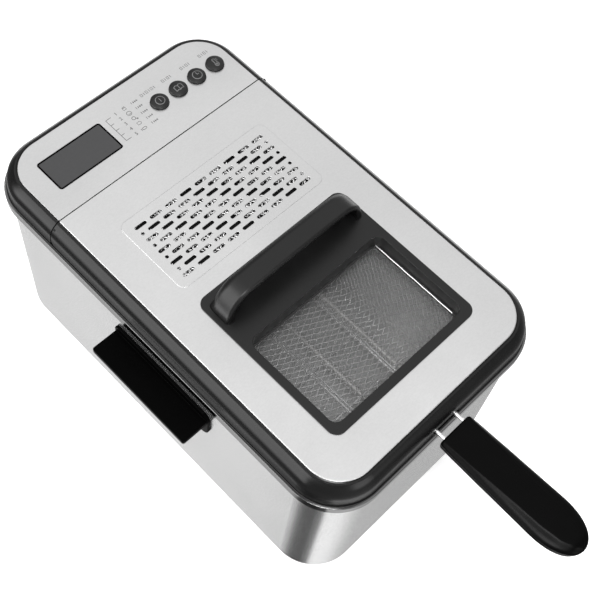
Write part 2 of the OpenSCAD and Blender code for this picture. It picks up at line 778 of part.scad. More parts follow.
module lid_screws() color("gray") home() for (p = lid_screw_at())
    translate([p[0], p[1], liner_z]) {
        cylinder(d = screw_d - 0.02, h = 8);
        translate([0, 0, -1.6]) cylinder(d = 6, h = 1.6);
    }

// ---- basket --------------------------------------------------------------

// round wire bent to a rounded rectangle
module wire_loop(w, y0, y1, r, z, d) translate([0, (y0 + y1) / 2, z]) {
    l = y1 - y0;
    for (s = [-1, 1]) {
        translate([s * w / 2, 0, 0]) rotate([90, 0, 0]) cylinder(d = d, h = l - 2 * r, center = true);
        translate([0, s * l / 2, 0]) rotate([0, 90, 0]) cylinder(d = d, h = w - 2 * r, center = true);
    }
    for (k = [0 : 3]) {
        sx = k == 0 || k == 3 ? 1 : -1;
        sy = k < 2 ? 1 : -1;
        translate([sx * (w / 2 - r), sy * (l / 2 - r), 0]) rotate([0, 0, 90 * k]) bend(r, d, 90);
    }
}

module basket_frame() color("lightgray") home() {
    wire_loop(basket_w + rim_wire, basket_y0 - rim_wire / 2, basket_y1 + rim_wire / 2,
        basket_r + rim_wire / 2, basket_top, rim_wire);
    for (x = [-52, 0, 52]) translate([x, (basket_y0 + basket_y1) / 2, basket_z - wire_d / 2]) rotate([90, 0, 0])
        cylinder(d = wire_d, h = basket_y1 - basket_y0 - 30, center = true);
    for (y = [-110, 50]) translate([0, y, basket_z - wire_d / 2]) rotate([0, 90, 0])
        cylinder(d = wire_d, h = basket_w - 12, center = true);
}

module basket_mesh() color("silver") home() difference() {
    slab(basket_z, basket_top) pad(basket_w, basket_y0, basket_y1, basket_r);
    slab(basket_z + mesh_t, basket_top + 1)
        pad(basket_w - 2 * mesh_t, basket_y0 + mesh_t, basket_y1 - mesh_t, basket_r - mesh_t);
}

// sleeve on the basket's front that holds the ends of the two wires
module handle_bracket() color("lightgray") home() difference() {
    translate([-16, wire_y - 2, basket_top - bracket_h]) cube([32, basket_y0 - wire_y + 2, bracket_h - 2.4]);
    for (s = [-1, 1]) translate([s * wire_pitch / 2, wire_y, basket_top - bracket_h + 4])
        cylinder(d = wire_d + 0.02, h = bracket_h);
}

// two wires that rise at the basket's front and run out over the tank's lip
module handle_wires() color("lightgray") home() for (s = [-1, 1]) translate([s * wire_pitch / 2, 0, 0]) {
    r = 5;
    low = basket_top - bracket_h + 4.2;
    translate([0, wire_y, low]) cylinder(d = wire_d, h = wire_z - r - low);
    translate([0, wire_y - r, wire_z - r]) rotate([90, 0, 90]) bend(r, wire_d, 90);
    translate([0, grip_y0 - 24, wire_z]) rotate([-90, 0, 0]) cylinder(d = wire_d, h = wire_y - r - grip_y0 + 24);
}

// two hooks that hang the raised basket on the tank's lip
module drain_hooks() color("lightgray") home() for (s = [-1, 1])
    translate([s * 40, basket_y0 - hook_d / 2, basket_z + 30]) {
        cylinder(d = hook_d, h = 24);
        translate([0, -hook_r, 24]) rotate([90, 0, 90]) bend(hook_r, hook_d, 180);
        translate([0, -2 * hook_r, 18]) cylinder(d = hook_d, h = 6);
    }

// paddle outline: slowly widening sides and an elliptical end
function grip_outline(shrink) = let (
        a = grip_a - shrink, b = grip_b - shrink,
        y0 = grip_y0 - shrink, yc = grip_y1 + 32, end = 32 - shrink)
    concat(
        [[a - 1.5, y0], [a, y0 - 2.5]],
        [for (t = [0 : 6 : 180]) [b * cos(t), yc - end * sin(t)]],
        [[-a, y0 - 2.5], [-a + 1.5, y0]]);

grip_top = wire_z + 3.6;
grip_mid = wire_z - 1;
grip_low = wire_z - 9;

module grip_bore() for (s = [-1, 1]) translate([s * wire_pitch / 2, grip_y0 - 24.2, wire_z])
    rotate([-90, 0, 0]) cylinder(d = wire_d + 0.02, h = 40);

module grip_upper() color("black") home() difference() {
    union() {
        slab(grip_mid, grip_top - 1.4) polygon(grip_outline(0));
        slab(grip_top - 1.4, grip_top) polygon(grip_outline(1.4));
    }
    grip_bore();
    for (y = [-232, -282]) translate([0, y, grip_mid - 1]) cylinder(d = 2.6, h = 3.4);
}

module grip_lower() color("black") home() difference() {
    union() {
        slab(grip_mid - 5, grip_mid) polygon(grip_outline(0.6));
        slab(grip_low, grip_mid - 5) polygon(grip_outline(3));
    }
    grip_bore();
    for (y = [-232, -282]) translate([0, y, grip_low - 1]) {
        cylinder(d = 3.4, h = 20);
        cylinder(d = 6.4, h = 4);
    }
}

module grip_screws() color("gray") home() for (y = [-232, -282]) translate([0, y, grip_low + 3]) {
    translate([0, 0, -2]) cylinder(d = 6, h = 2);
    cylinder(d = 2.58, h = grip_mid - grip_low - 3 + 2.2);
}

// ---- nodes ---------------------------------------------------------------

housing_shell();
top_collar();
base_plate();
rubber_feet();
base_screws();
side_handle_left();
side_handle_right();
side_handle_screws();
head_dock();
oil_tank();
head_cover();
head_panel();
head_tray();
display_bezel();
display_lens();
display_module();
button_mat();
control_board();
board_parts();
tact_switches();
power_board();
safety_switch();
element_bracket();
heating_element();
element_clips();
thermostat_bulbs();
head_screws();
cord_gland();
button_power();
button_mode();
button_time();
button_temp();
lid_rim();
lid_panel();
window_frame();
lid_handle();
handle_screws();
window_glass();
window_gasket();
filter_tray();
filter_mesh();
lid_liner();
lid_seal();
lid_screws();
basket_frame();
basket_mesh();
handle_bracket();
handle_wires();
drain_hooks();
grip_upper();
grip_lower();
grip_screws();
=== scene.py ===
import json
import math

import bmesh
import bpy
from mathutils import Matrix, Vector

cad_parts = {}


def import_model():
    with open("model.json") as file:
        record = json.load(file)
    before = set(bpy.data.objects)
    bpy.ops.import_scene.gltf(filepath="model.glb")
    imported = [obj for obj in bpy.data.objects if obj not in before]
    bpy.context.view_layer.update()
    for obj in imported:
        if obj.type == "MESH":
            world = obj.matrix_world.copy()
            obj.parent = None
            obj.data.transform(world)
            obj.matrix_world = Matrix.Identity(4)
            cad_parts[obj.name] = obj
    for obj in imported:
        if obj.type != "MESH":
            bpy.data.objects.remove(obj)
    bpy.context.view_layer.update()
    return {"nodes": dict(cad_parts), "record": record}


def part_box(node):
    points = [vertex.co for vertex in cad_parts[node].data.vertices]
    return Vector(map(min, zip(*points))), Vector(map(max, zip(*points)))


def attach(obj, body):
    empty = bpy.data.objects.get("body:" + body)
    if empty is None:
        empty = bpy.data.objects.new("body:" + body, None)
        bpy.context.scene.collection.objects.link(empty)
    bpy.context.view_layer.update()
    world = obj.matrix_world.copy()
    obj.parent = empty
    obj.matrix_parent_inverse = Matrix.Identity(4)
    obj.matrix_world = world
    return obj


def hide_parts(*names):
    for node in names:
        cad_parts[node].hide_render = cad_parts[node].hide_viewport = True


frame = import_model()
MM = 0.001
SLOT_OF = {s["node"]: s["material_slot"] for s in frame["record"]["subparts"]}


def box(node):
    """Lowest and highest corner of a CAD node, in millimetres."""
    lo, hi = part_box(node)
    return Vector(lo) / MM, Vector(hi) / MM


# ---------------------------------------------------------------- node helpers

class Num:
    """A number socket in a node tree, with arithmetic."""

    def __init__(self, tree, socket):
        self.tree, self.socket = tree, socket

    def _math(self, op, *others):
        n = self.tree.nodes.new("ShaderNodeMath")
        n.operation = op
        self.tree.links.new(self.socket, n.inputs[0])
        for i, other in enumerate(others, 1):
            if isinstance(other, Num):
                self.tree.links.new(other.socket, n.inputs[i])
            else:
                n.inputs[i].default_value = other
        return Num(self.tree, n.outputs[0])

    def __add__(self, o): return self._math("ADD", o)
    def __sub__(self, o): return self._math("SUBTRACT", o)
    def __mul__(self, o): return self._math("MULTIPLY", o)
    def __truediv__(self, o): return self._math("DIVIDE", o)
    def most(self, o): return self._math("MAXIMUM", o)
    def least(self, o): return self._math("MINIMUM", o)

    def step(self, a, b, low=0.0, high=1.0):
        n = self.tree.nodes.new("ShaderNodeMapRange")
        n.interpolation_type = "SMOOTHSTEP"
        self.tree.links.new(self.socket, n.inputs["Value"])
        for key, value in (("From Min", a), ("From Max", b), ("To Min", low), ("To Max", high)):
            n.inputs[key].default_value = value
        return Num(self.tree, n.outputs[0])

    def ramp(self, stops):
        n = self.tree.nodes.new("ShaderNodeValToRGB")
        e = n.color_ramp.elements
        while len(e) < len(stops):
            e.new(0.5)
        for item, (pos, value) in zip(e, stops):
            item.position = pos
            item.color = (value, value, value, 1)
        self.tree.links.new(self.socket, n.inputs[0])
        return Num(self.tree, n.outputs[0])


def grey(*v):
    return (v[0], v[0], v[0], 1) if len(v) == 1 else (*v[:3], 1)


def noise(tree, scale, stretch=(1, 1, 1), detail=3.0, rough=0.55, shift=0.0, distort=0.0):
    coord = tree.nodes.new("ShaderNodeTexCoord")
    place = tree.nodes.new("ShaderNodeMapping")
    place.inputs["Scale"].default_value = [s * scale for s in stretch]
    place.inputs["Location"].default_value = (shift, shift * 0.7, shift * 1.3)
    tree.links.new(coord.outputs["Object"], place.inputs["Vector"])
    n = tree.nodes.new("ShaderNodeTexNoise")
    n.inputs["Scale"].default_value = 1.0
    n.inputs["Detail"].default_value = detail
    n.inputs["Roughness"].default_value = rough
    n.inputs["Distortion"].default_value = distort
    tree.links.new(place.outputs[0], n.inputs["Vector"])
    return Num(tree, n.outputs[0])


def shader(name, color, roughness, metallic=0.0, dark=0.9, light=1.08, mottle=30.0, grain=None,
           smudge=0.06, smudge_size=18.0, bevel=0.0, wear=0.0, wear_color=0.3, **sockets):
    """A Principled material: mottled colour, smudged roughness, a grain in the bump and worn edges.

    grain is (features per metre, stretch along X Y Z, bump distance in metres, share in the roughness)."""
    m = bpy.data.materials.new(name)
    m.use_nodes = True
    t = m.node_tree
    p = t.nodes["Principled BSDF"]
    p.inputs["Metallic"].default_value = metallic
    for key, value in sockets.items():
        p.inputs[key.replace("_", " ").title().replace("Ior", "IOR")].default_value = value
    rgb = color if isinstance(color, (tuple, list)) else (color,) * 3

    tone = noise(t, mottle, detail=4.0).step(0.3, 0.7)
    mix = t.nodes.new("ShaderNodeMix")
    mix.data_type = "RGBA"
    mix.inputs["A"].default_value = grey(*[c * dark for c in rgb])
    mix.inputs["B"].default_value = grey(*[min(c * light, 1.0) for c in rgb])
    t.links.new(tone.socket, mix.inputs["Factor"])
    out = mix.outputs["Result"]

    smear = noise(t, smudge_size, detail=5.0, rough=0.65, shift=3.1, distort=0.6).step(0.35, 0.75)
    rough = smear * smudge + (roughness - smudge / 2)
    normal = None
    if bevel:
        b = t.nodes.new("ShaderNodeBevel")
        b.samples = 4
        b.inputs["Radius"].default_value = bevel
        normal = b.outputs[0]
    if wear:
        b2 = t.nodes.new("ShaderNodeBevel")
        b2.samples = 4
        b2.inputs["Radius"].default_value = max(bevel * 1.6, 0.0006)
        g = t.nodes.new("ShaderNodeNewGeometry")
        dot = t.nodes.new("ShaderNodeVectorMath")
        dot.operation = "DOT_PRODUCT"
        t.links.new(b2.outputs[0], dot.inputs[0])
        t.links.new(g.outputs["Normal"], dot.inputs[1])
        edge = Num(t, dot.outputs["Value"]).step(0.995, 0.8)
        worn = edge * noise(t, 900.0, detail=6.0, rough=0.7, shift=8.0).step(0.42, 0.62) * wear
        over = t.nodes.new("ShaderNodeMix")
        over.data_type = "RGBA"
        over.inputs["B"].default_value = grey(wear_color)
        t.links.new(out, over.inputs["A"])
        t.links.new(worn.socket, over.inputs["Factor"])
        out = over.outputs["Result"]
        rough = rough + worn * 0.15
    if grain:
        scale, stretch, depth, share = grain
        g = noise(t, scale, stretch, detail=2.0, rough=0.6, shift=1.7)
        rough = rough + (g - 0.5) * share
        bump = t.nodes.new("ShaderNodeBump")
        bump.inputs["Strength"].default_value = 1.0
        bump.inputs["Distance"].default_value = depth
        t.links.new(g.socket, bump.inputs["Height"])
        if normal:
            t.links.new(normal, bump.inputs["Normal"])
        normal = bump.outputs[0]
    if normal:
        t.links.new(normal, p.inputs["Normal"])
    t.links.new(out, p.inputs["Base Color"])
    t.links.new(rough.most(0.03).least(1.0).socket, p.inputs["Roughness"])
    return m


def brushed(name, color, roughness, stretch, anisotropic, streak=0.1, depth=0.000004, bevel=0.0003,
            metallic=1.0, **more):
    """Steel with hairlines: bright and dark streaks in the colour as well as in the bump."""
    m = shader(name, color, roughness, metallic=metallic, dark=0.97, light=1.02, mottle=9.0,
               grain=(1.0, stretch, depth, 0.12), bevel=bevel, anisotropic=anisotropic, **more)
    t = m.node_tree
    p = t.nodes["Principled BSDF"]
    link = p.inputs["Base Color"].links[0]
    lines = noise(t, 0.6, stretch, detail=3.0, rough=0.7, shift=5.0).step(0.25, 0.75, 1 - streak, 1 + streak)
    scale = t.nodes.new("ShaderNodeVectorMath")
    scale.operation = "SCALE"
    t.links.new(link.from_socket, scale.inputs[0])
    t.links.new(lines.socket, scale.inputs["Scale"])
    t.links.new(scale.outputs[0], p.inputs["Base Color"])
    return m


def glazing(name, tint, haze):
    """Clear pane: a mirror film that grows towards the edges of view over a see-through base."""
    m = bpy.data.materials.new(name)
    m.use_nodes = True
    t = m.node_tree
    p = t.nodes["Principled BSDF"]
    p.inputs["Base Color"].default_value = grey(*tint)
    p.inputs["Metallic"].default_value = 0.6
    rough = noise(t, 60.0, detail=4.0, shift=2.0).step(0.3, 0.8, 0.02, 0.09)
    t.links.new(rough.socket, p.inputs["Roughness"])
    clear = t.nodes.new("ShaderNodeBsdfTransparent")
    clear.inputs[0].default_value = grey(0.9, 0.9, 0.9)
    weight = t.nodes.new("ShaderNodeLayerWeight")
    weight.inputs["Blend"].default_value = 0.25
    smear = noise(t, 25.0, detail=5.0, shift=6.0, distort=1.0).step(0.3, 0.8, haze * 0.9, haze * 1.15)
    share = Num(t, weight.outputs["Fresnel"]) * 0.9 + smear
    mix = t.nodes.new("ShaderNodeMixShader")
    t.links.new(share.least(1.0).socket, mix.inputs[0])
    t.links.new(clear.outputs[0], mix.inputs[1])
    t.links.new(p.outputs[0], mix.inputs[2])
    t.links.new(mix.outputs[0], t.nodes["Material Output"].inputs["Surface"])
    return m


# ---------------------------------------------------------------- materials

GRAIN = (1400.0, (1, 1, 1), 0.00003, 0.10)
MATS = {
    "wall_steel": brushed("wall_steel", 0.73, 0.22, (1100, 1100, 2000), 0.6, streak=0.17, depth=0.0000015,
                          smudge=0.02, metallic=0.95, anisotropic_rotation=0.25),
    "panel_steel": brushed("panel_steel", 0.77, 0.38, (900, 1500, 900), 0.2, streak=0.03, bevel=0.0005),
    # Collar steel coloured far darker than the wall's steel: painted shade, a darkened copy standing in for
    # the dark reflection on the polished collar
    "collar_steel": brushed("collar_steel", 0.192, 0.12, (30, 30, 1500), 0.2, streak=0.03, depth=0.000001,
                            bevel=0),
    "tank_steel": brushed("tank_steel", 0.66, 0.44, (30, 30, 900), 0.0, streak=0.05, smudge=0.1),
    "element_steel": shader("element_steel", (0.66, 0.65, 0.64), 0.44, metallic=0.9, dark=0.8, light=1.15,
                            mottle=55.0, grain=(600.0, (1, 1, 1), 0.00002, 0.1)),
    "filter_steel": shader("filter_steel", 0.96, 0.30, metallic=0.15, grain=(900.0, (1, 1, 1), 0.00002, 0.1)),
    "screw_steel": shader("screw_steel", 0.52, 0.34, metallic=1.0, grain=(1200.0, (1, 1, 1), 0.00001, 0.1)),
    "wire_chrome": shader("wire_chrome", 0.92, 0.20, metallic=0.8, dark=0.93, light=1.03,
                          grain=(700.0, (1, 1, 1), 0.000006, 0.05)),
    "mesh_steel": shader("mesh_steel", 0.86, 0.26, metallic=0.55, dark=0.8, light=1.1, mottle=120.0,
                         grain=(900.0, (1, 1, 1), 0.00001, 0.08)),
    "rim_plastic": shader("rim_plastic", 0.005, 0.24, grain=(2200.0, (1, 1, 1), 0.000012, 0.06), bevel=0.0004,
                          specular_ior_level=0.33, wear=0.25, wear_color=0.05),
    "frame_plastic": shader("frame_plastic", 0.0035, 0.37, grain=GRAIN, bevel=0.0006,
                            wear=0.25, wear_color=0.07, specular_ior_level=0.44),
    "black_plastic": shader("black_plastic", 0.001, 0.34, grain=GRAIN, bevel=0.0005, wear=0.2, wear_color=0.02,
                            specular_ior_level=0.02),
    "grip_plastic": shader("grip_plastic", 0.0012, 0.30, grain=(1800.0, (1, 1, 1), 0.000014, 0.08),
                           specular_ior_level=0.06, wear=0.12, wear_color=0.03),
    "button_plastic": shader("button_plastic", 0.011, 0.40, grain=(1800.0, (1, 1, 1), 0.00001, 0.08),
                             bevel=0.0005, specular_ior_level=0.32),
    "inner_plastic": shader("inner_plastic", 0.008, 0.5, grain=GRAIN, specular_ior_level=0.2),
    "module_plastic": shader("module_plastic", 0.06, 0.5, grain=GRAIN),
    "component_plastic": shader("component_plastic", 0.07, 0.45, grain=GRAIN, bevel=0.0003),
    "board_resin": shader("board_resin", (0.02, 0.11, 0.05), 0.35, dark=0.7, light=1.3, mottle=400.0,
                          grain=(800.0, (1, 0.1, 1), 0.00003, 0.1)),
    "mat_silicone": shader("mat_silicone", (0.02, 0.02, 0.02), 0.55, grain=GRAIN),
    "foot_rubber": shader("foot_rubber", 0.02, 0.75, grain=(1500.0, (1, 1, 1), 0.00005, 0.1)),
    "display_glass": shader("display_glass", (0.034, 0.034, 0.035), 0.32, dark=0.96, light=1.04, mottle=500.0,
                            grain=(2500.0, (1, 1, 1), 0.000006, 0.05)),
    "window_glass": glazing("window_glass", (0.75, 0.75, 0.75), 0.045),
}
PRINT = shader("print_ink", 0.05, 0.6, mottle=900.0, dark=0.6, light=1.5)
ICON = shader("icon_ink", 0.15, 0.5, mottle=900.0, dark=0.85, light=1.15)

for name, obj in frame["nodes"].items():
    obj.data.materials.clear()
    obj.data.materials.append(MATS[SLOT_OF[name]])


# ---------------------------------------------------------------- mesh helpers

def piece(name, bm, body, slot, mat=None, instead=(), smooth=True, bevel=0.0):
    """Turns a bmesh in millimetres into an object that rides on a body."""
    bmesh.ops.remove_doubles(bm, verts=bm.verts, dist=0.0005)
    bmesh.ops.recalc_face_normals(bm, faces=bm.faces)
    bmesh.ops.scale(bm, vec=(MM, MM, MM), verts=bm.verts)
    me = bpy.data.meshes.new(name)
    bm.to_mesh(me)
    bm.free()
    obj = bpy.data.objects.new(name, me)
    bpy.context.scene.collection.objects.link(obj)
    me.materials.append(mat or MATS[slot])
    if smooth:
        me.shade_smooth()
    if bevel:
        mod = obj.modifiers.new("round", "BEVEL")
        mod.width, mod.segments, mod.limit_method, mod.angle_limit = bevel * MM, 3, "ANGLE", math.radians(35)
    if smooth:
        mod = obj.modifiers.new("corners", "WEIGHTED_NORMAL")
        mod.keep_sharp = True
    for node in instead:
        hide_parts(node)
    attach(obj, body)


def wires(name, lines, radius, body, slot, instead=(), around=1):
    """Round wires along lists of points in millimetres."""
    data = bpy.data.curves.new(name, "CURVE")
    data.dimensions = "3D"
    data.bevel_depth = radius * MM
    data.bevel_resolution = around
    data.use_fill_caps = True
    for line in lines:
        s = data.splines.new("POLY")
        s.points.add(len(line) - 1)
        for p, co in zip(s.points, line):
            p.co = (co[0] * MM, co[1] * MM, co[2] * MM, 1)
    obj = bpy.data.objects.new(name, data)
    bpy.context.scene.collection.objects.link(obj)
    data.materials.append(MATS[slot])
    for node in instead:
        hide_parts(node)
    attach(obj, body)


def loft(bm, rings):
    """Skins a list of closed rings of equal length and closes both ends."""
    rows = [[bm.verts.new(p) for p in ring] for ring in rings]
    n = len(rows[0])
    for a, b in zip(rows, rows[1:]):
        for i in range(n):
            bm.faces.new((a[i], a[(i + 1) % n], b[(i + 1) % n], b[i]))
    bm.faces.new(rows[0])
    bm.faces.new(list(reversed(rows[-1])))


def prism(bm, outline, z0, z1):
    loft(bm, [[(x, y, z0) for x, y in outline], [(x, y, z1) for x, y in outline]])


def arc(cx, cy, r, a0, a1, n):
    return [(cx + r * math.cos(math.radians(a0 + (a1 - a0) * k / n)),
             cy + r * math.sin(math.radians(a0 + (a1 - a0) * k / n))) for k in range(n + 1)]


def blend_of(stops, t):
    """Smooth interpolation through (position, value) stops."""
    if t <= stops[0][0]:
        return stops[0][1]
    for (a, va), (b, vb) in zip(stops, stops[1:]):
        if t <= b:
            k = (t - a) / (b - a)
            k = k * k * (3 - 2 * k) * 0.5 + k * 0.5
            return va + (vb - va) * k
    return stops[-1][1]


# ---------------------------------------------------------------- lid handle

def lid_handle():
    lo, hi = box("lid_handle")
    mid_x, mid_y, base = (lo.x + hi.x) / 2, (lo.y + hi.y) / 2, lo.z
    half, high, deep = (hi.x - lo.x) / 2, hi.z - lo.z, (hi.y - lo.y) / 2
    crown, end, thick, lip = 900.0, 20.0, 2.8, 8.0
    flare_top, flare_out = 18.0, 2.6
    left_fuller, left_start, left_run = 3.4, 6.0, 40.0
    ex = half - end
    ez = high - crown + math.sqrt((crown - end) ** 2 - ex ** 2)
    lean = math.degrees(math.atan2(ez + crown - high, ex))
    leg = [(half, ez * k / 4) for k in range(4)]
    path = leg + arc(ex, ez, end, 0, lean, 22)[:-1] + arc(0, high - crown, crown, lean, 180 - lean, 26) \
        + arc(-ex, ez, end, 180 - lean, 180, 22)[1:] + [(-x, z) for x, z in reversed(leg)]
    section = [(-deep, -3.6)] + arc(-deep + 2.8, -2.8, 2.8, 180, 98, 7)
    section += [(-3.0, -0.05), (0.0, 0.0)] + arc(deep - 7.0, -7.0, 7.0, 88, 0, 10)
    section += [(deep, -lip + 1.0)] + arc(deep - 1.2, -lip + 1.0, 1.2, -20, -160, 5)
    section += arc(deep - 6.2, -thick - 3.8, 3.8, 0, 90, 5) + [(-deep + 3.0, -thick), (-deep + 1.4, -3.9)]
    rings = []
    for i, (x, z) in enumerate(path):
        a, b = path[max(i - 1, 0)], path[min(i + 1, len(path) - 1)]
        tx, tz = b[0] - a[0], b[1] - a[1]
        length = math.hypot(tx, tz)
        nx, nz = tz / length, -tx / length
        if i in (0, len(path) - 1):
            nx, nz = math.copysign(1, x), 0.0
        flare = max(0.0, 1 - z / flare_top) ** 1.5 * flare_out
        grow = 1 + flare * 0.035
        far = left_fuller * min(1.0, max(0.0, -x - left_start) / left_run)
        ring = []
        for v, n in section:
            out = flare if n > -2.5 or v > deep - 3 else 0.0
            depth = min(n, 0.0) * (1 if z > 6 else 0.35 + 0.65 * z / 6 if v > 2 else 1)
            ring.append((mid_x + x - far + nx * (depth + out), mid_y + v * grow,
                         base + max(z + nz * depth, 0.0)))
        rings.append(ring)
    bm = bmesh.new()
    loft(bm, rings)
    piece("lid_handle_shell", bm, "lid", "frame_plastic", instead=["lid_handle"])


# ---------------------------------------------------------------- basket grip

def grip():
    up_lo, up_hi = box("grip_upper")
    low_lo, _ = box("grip_lower")
    root, tip = up_hi.y, up_lo.y
    top, seam, bottom = up_hi.z, up_lo.z + 0.6, low_lo.z
    wide = [(0, 15.6), (12, 16.2), (42, 17.0), (68, 17.6), (82, 18.0), (92, 17.6)]
    ridge = [(0, 13.6), (25, 12.9), (50, 11.7), (66, 10.9), (84, 10.4), (100, 8.6), (110, 5.0), (116, 0.6)]
    length = root - tip
    nose, nose_wide = 32, 18.0
    bulge = length - nose

    def half_width(s):
        if s < bulge:
            return blend_of(wide, s)
        k = (s - bulge) / nose
        return nose_wide * math.sqrt(max(1 - k ** 2.3, 0.0))

    stations = [0.0, 0.35, 1.0, 2.2] + [2.2 + (bulge - 2.2) * k / 16 for k in range(1, 17)]
    stations += [bulge + nose * math.sin(math.radians(90 * k / 18)) for k in range(1, 18)] + [length - 0.05]
    upper, lower, groove = [], [], []
    for s in stations:
        w = max(half_width(s), 0.3)
        y = root - s
        edge = max(0.0, 1 - s / 1.6) ** 2 * 1.3
        near = max(0.0, (s - length + 9) / 9)
        droop = 3.4 * near ** 2.2
        w -= edge
        t = min(blend_of(ridge, s), w * 0.86)
        z = top - droop - edge * 0.8
        side = seam + (z - seam) * 0.30
        half = [(w, seam), (w, side), (w - (w - t) * 0.30, side + (z - side) * 0.36),
                (w - (w - t) * 0.62, side + (z - side) * 0.66), (t + 0.9, z - 0.75), (t + 0.1, z - 0.28),
                (t - 0.9, z - 0.06), (t * 0.55, z), (t * 0.2, z)]
        upper.append([(x, y, h) for x, h in half] + [(-x, y, h) for x, h in reversed(half)])
        b = bottom + droop * 1.6 + edge
        inner = w - 0.5
        deep = seam - b
        half = [(inner, seam - 0.1), (inner + 0.3, seam - 0.7), (inner + 0.25, seam - deep * 0.35),
                (inner * 0.97, seam - deep * 0.62), (inner * 0.88, seam - deep * 0.84),
                (inner * 0.72, b + deep * 0.03), (inner * 0.4, b), (inner * 0.12, b)]
        lower.append([(x, y, h) for x, h in half] + [(-x, y, h) for x, h in reversed(half)])
        groove.append([(w - 0.8, y, seam + 0.3), (w - 0.8, y, seam - 0.5),
                       (-w + 0.8, y, seam - 0.5), (-w + 0.8, y, seam + 0.3)])
    bm = bmesh.new()
    loft(bm, upper)
    piece("grip_top", bm, "basket", "grip_plastic", instead=["grip_upper"])
    bm = bmesh.new()
    loft(bm, lower)
    loft(bm, groove)
    piece("grip_bottom", bm, "basket", "grip_plastic", instead=["grip_lower"])


# ---------------------------------------------------------------- side handles

def side_handle(node, sign):
    lo, hi = box(node)
    wall, out = (hi.x, lo.x) if sign < 0 else (lo.x, hi.x)
    reach, mid, half = abs(out - wall), (lo.y + hi.y) / 2, (hi.y - lo.y) / 2
    shelf, thick = hi.z - 7.0, 4.6
    long = half - 1.0
    outline = [(0.4, -long), (reach - 2, -long)] + arc(reach - 2, -long + 2, 2, 280, 360, 5) \
        + arc(reach - 2, long - 2, 2, 0, 80, 5) + [(reach - 2, long), (0.4, long)]
    bm = bmesh.new()
    prism(bm, outline, shelf - thick, shelf)
    flange = arc(-half + 9, hi.z - 9, 9, 180, 90, 10) + arc(half - 5, hi.z - 5, 5, 90, 0, 8) \
        + arc(half - 9, lo.z + 9, 9, 0, -90, 6) + arc(-half + 9, lo.z + 9, 9, -90, -180, 6)
    loft(bm, [[(x, y, z) for y, z in flange] for x in (0.0, 2.4)])
    for y in (-half + 8, half - 11):
        lug = [(y, shelf - thick + 1), (y + 3, shelf - thick + 1)]
        rings = [[(x, a, b) for a, b in lug] + [(x, lug[1][0], z), (x, lug[0][0], z)]
                 for x, z in ((2.0, lo.z + 3), (7, lo.z + 12), (reach * 0.55, shelf - thick - 0.5))]
        loft(bm, rings)
    for v in bm.verts:
        v.co = (wall + sign * v.co.x, mid + v.co.y, v.co.z)
    piece(node + "_shell", bm, "base", "black_plastic", instead=[node], bevel=0.5)


# ---------------------------------------------------------------- basket and filter wire

def outline_point(half_w, y0, y1, r, u):
    """Point and outward normal at the distance u round a rounded rectangle."""
    flat_x, flat_y, quarter = 2 * (half_w - r), (y1 - y0) - 2 * r, math.pi * r / 2
    for angle, run, cx, cy in ((0, flat_y, half_w - r, y1 - r), (90, flat_x, r - half_w, y1 - r),
                               (180, flat_y, r - half_w, y0 + r), (270, flat_x, half_w - r, y0 + r)):
        a = math.radians(angle)
        n, t = Vector((math.cos(a), math.sin(a))), Vector((-math.sin(a), math.cos(a)))
        c = Vector((cx, cy))
        if u <= run:
            return c + n * r - t * (run - u), n
        u -= run
        if u <= quarter:
            b = a + u / r
            n = Vector((math.cos(b), math.sin(b)))
            return c + n * r, n
        u -= quarter
    return outline_point(half_w, y0, y1, r, 0.0)


def inside(x, y, half_w, y0, y1, r):
    dx = abs(x) - (half_w - r)
    dy = max(y0 + r - y, y - (y1 - r))
    if dx > r or dy > r:
        return False
    return not (dx > 0 and dy > 0 and dx * dx + dy * dy > r * r)


def basket_weave():
    lo, hi = box("basket_mesh")
    _, rim = box("basket_frame")
    half_w, y0, y1, r = (hi.x - lo.x) / 2 - 0.6, lo.y + 0.6, hi.y - 0.6, 35.4
    fold, wire, pitch, slope, wave = 6.0, 0.42, 5.5, 0.52, 0.38
    floor = lo.z + 0.5
    step = pitch / 2 / slope
    area = (half_w - fold, y0 + fold, y1 - fold, r - fold)
    mid = (y0 + y1) / 2
    lines = []
    count = int((y1 - y0) / pitch + half_w * 2 * slope / pitch) // 2 + 2
    for sign in (1, -1):
        for k in range(-count, count + 1):
            c = mid + k * pitch
            xs = [i * step for i in range(-16, 17)]
            first = k if sign > 0 else k + 1
            pts = [(x, c + sign * slope * x, floor + (wave if (i + first) % 2 else -wave) * sign)
                   for i, x in enumerate(xs)]
            keep = [p for p in pts if inside(p[0], p[1], *area)]
            if not keep:
                continue
            for end, way in ((0, -1), (-1, 1)):
                x = keep[end][0]
                while inside(x + way * 0.4, c + sign * slope * (x + way * 0.4), *area):
                    x += way * 0.4
                tail = (x, c + sign * slope * x, floor)
                keep = [tail] + keep if end == 0 else keep + [tail]
            lines.append(keep)
    round_ = 2 * (2 * (half_w - r) + (y1 - y0) - 2 * r) + 2 * math.pi * r
    number = round(round_ / pitch)
    gap = round_ / number
    bend = fold * math.pi / 2
    tall = bend + rim.z - 3.4 - floor - fold
    for sign in (1, -1):
        for k in range(number):
            pts = []
            for i in range(int(tall / (step / 2)) + 2):
                h = min(i * step / 2, tall)
                p, n = outline_point(half_w, y0, y1, r, (k * gap + sign * slope * h) % round_)
                a = min(h, bend) / fold
                into = fold * (1 - math.sin(a))
                z = floor + fold * (1 - math.cos(a)) + max(h - bend, 0)
                off = sign * wave * math.cos(math.pi * h / step + (0 if k % 2 else math.pi))
                p = p - n * (into + off * math.sin(a))
                pts.append((p.x, p.y, z - off * math.cos(a) * 0.5))
            lines.append(pts)
    wires("basket_weave", lines, wire, "basket", "mesh_steel", instead=["basket_mesh"])


